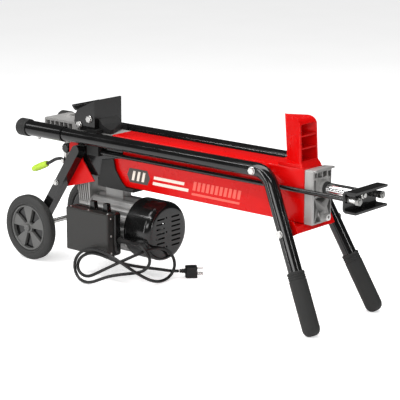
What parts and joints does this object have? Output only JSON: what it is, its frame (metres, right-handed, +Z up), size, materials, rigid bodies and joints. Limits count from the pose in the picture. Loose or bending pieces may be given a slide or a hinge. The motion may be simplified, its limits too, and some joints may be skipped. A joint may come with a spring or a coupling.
{
  "type": "log splitter",
  "caption": "Horizontal electric hydraulic log splitter: a ram in a box beam pulls a pusher plate towards a fixed wedge, on bent tube legs and wheels.",
  "frame": {"origin": "on the floor, under the middle of the machine's length and width, measured without the power cord and plug", "axes": "+X along the beam from the wheels and motor towards the wedge and the front legs, +Z up, -Y towards the side with the switch box"},
  "size_m": [0.9898, 0.2867, 0.4222],
  "materials": {
    "black_paint": "gloss",
    "box_plastic": "satin",
    "cable": "satin",
    "cast_aluminium": "as cast",
    "chrome": "polished",
    "dark_paint": "satin",
    "gloss_plastic": "gloss",
    "green_plastic": "gloss",
    "hub_plastic": "satin",
    "lime_plastic": "satin",
    "motor_aluminium": "satin",
    "red_paint": "gloss",
    "rubber": "matte",
    "steel": "satin",
    "tyre_rubber": "matte",
    "zinc_steel": "zinc plated"
  },
  "bodies": {
    "frame": {"axle": "zinc_steel", "beam_body": "red_paint", "bearing_fan_end": "steel", "bearing_pump_end": "steel", "cord_gland": "rubber", "cylinder_tube": "steel", "fan_cover": "gloss_plastic", "foot_grip_far": "rubber", "foot_grip_near": "rubber", "front_head": "cast_aluminium", "front_leg_bracket": "red_paint", "leg_bolt": "zinc_steel", "lever_bracket": "zinc_steel", "motor_end_bell": "motor_aluminium", "motor_housing": "motor_aluminium", "motor_saddle": "dark_paint", "motor_stator": "steel", "plug": "cable", "power_cord": "cable", "pump_body": "cast_aluminium", "rail_bolt": "zinc_steel", "rail_far": "black_paint", "rail_near": "black_paint", "rear_cap_far": "rubber", "rear_cap_near": "rubber", "rear_casting": "cast_aluminium", "rear_leg_bracket": "red_paint", "rear_sleeve_far": "black_paint", "rear_sleeve_near": "black_paint", "rear_yoke": "black_paint", "rod_wiper": "rubber", "switch_box_body": "gloss_plastic", "switch_box_cover": "box_plastic", "wedge": "red_paint", "wheel_leg_bolt": "zinc_steel", "wheel_leg_far": "black_paint", "wheel_leg_near": "black_paint"},
    "ram": {"piston": "steel", "piston_seal": "rubber", "piston_rod": "chrome", "cross_bracket": "black_paint", "tie_rod_near": "black_paint", "tie_rod_far": "black_paint", "pusher_plate": "black_paint", "pusher_carriage": "dark_paint", "pusher_bolt_upper": "zinc_steel", "pusher_bolt_lower": "zinc_steel"},
    "control_lever": {"lever_arm": "black_paint", "lever_grip": "lime_plastic"},
    "spool": {"valve_spool": "steel"},
    "wheel_near": {"tyre_near": "tyre_rubber", "hub_near": "hub_plastic"},
    "wheel_far": {"tyre_far": "tyre_rubber", "hub_far": "hub_plastic"},
    "rotor": {"motor_rotor": "steel", "cooling_fan": "gloss_plastic", "drive_gear": "steel"},
    "pump_gear": {"driven_gear": "steel"},
    "button": {"switch_button": "green_plastic"},
    "breather_plug": {"oil_plug": "black_paint"}
  },
  "joints": [
    {"name": "ram_slide", "type": "slide", "parent": "frame", "child": "ram", "axis": [1, 0, 0], "range_m": [0, 0.38]},
    {"name": "lever_hinge", "type": "hinge", "parent": "frame", "child": "control_lever", "pos_m": [-0.34845, -0.0427, 0.24], "axis": [0, -1, 0], "range_deg": [0, 18], "stiffness_Nm_per_rad": 0.4, "springref_deg": -17.19},
    {"name": "spool_slide", "type": "slide", "parent": "frame", "child": "spool", "axis": [1, 0, 0], "range_m": [0, 0.005]},
    {"name": "near_wheel_spin", "type": "hinge", "parent": "frame", "child": "wheel_near", "pos_m": [-0.41735, -0.1022, 0.0775], "axis": [0, 1, 0], "continuous": true},
    {"name": "far_wheel_spin", "type": "hinge", "parent": "frame", "child": "wheel_far", "pos_m": [-0.41735, 0.1283, 0.0775], "axis": [0, 1, 0], "continuous": true},
    {"name": "rotor_spin", "type": "hinge", "parent": "frame", "child": "rotor", "pos_m": [-0.26335, -0.0022, 0.111], "axis": [1, 0, 0], "continuous": true},
    {"name": "pump_gear_spin", "type": "hinge", "parent": "frame", "child": "pump_gear", "pos_m": [-0.29805, 0.0208, 0.111], "axis": [1, 0, 0], "continuous": true},
    {"name": "button_press", "type": "slide", "parent": "frame", "child": "button", "axis": [1, 0, 0], "range_m": [0, 0.003], "stiffness_N_per_m": 400, "springref_m": -0.002},
    {"name": "plug_turn", "type": "hinge", "parent": "frame", "child": "breather_plug", "pos_m": [-0.33715, -0.0345, 0.272], "axis": [0, -1, 0], "range_deg": [0, 360]}
  ],
  "couplings": [
    {"joint": "pump_gear_spin", "follows": "rotor_spin", "ratio": -1},
    {"joint": "spool_slide", "follows": "lever_hinge", "m_per_rad": 0.0159}
  ]
}
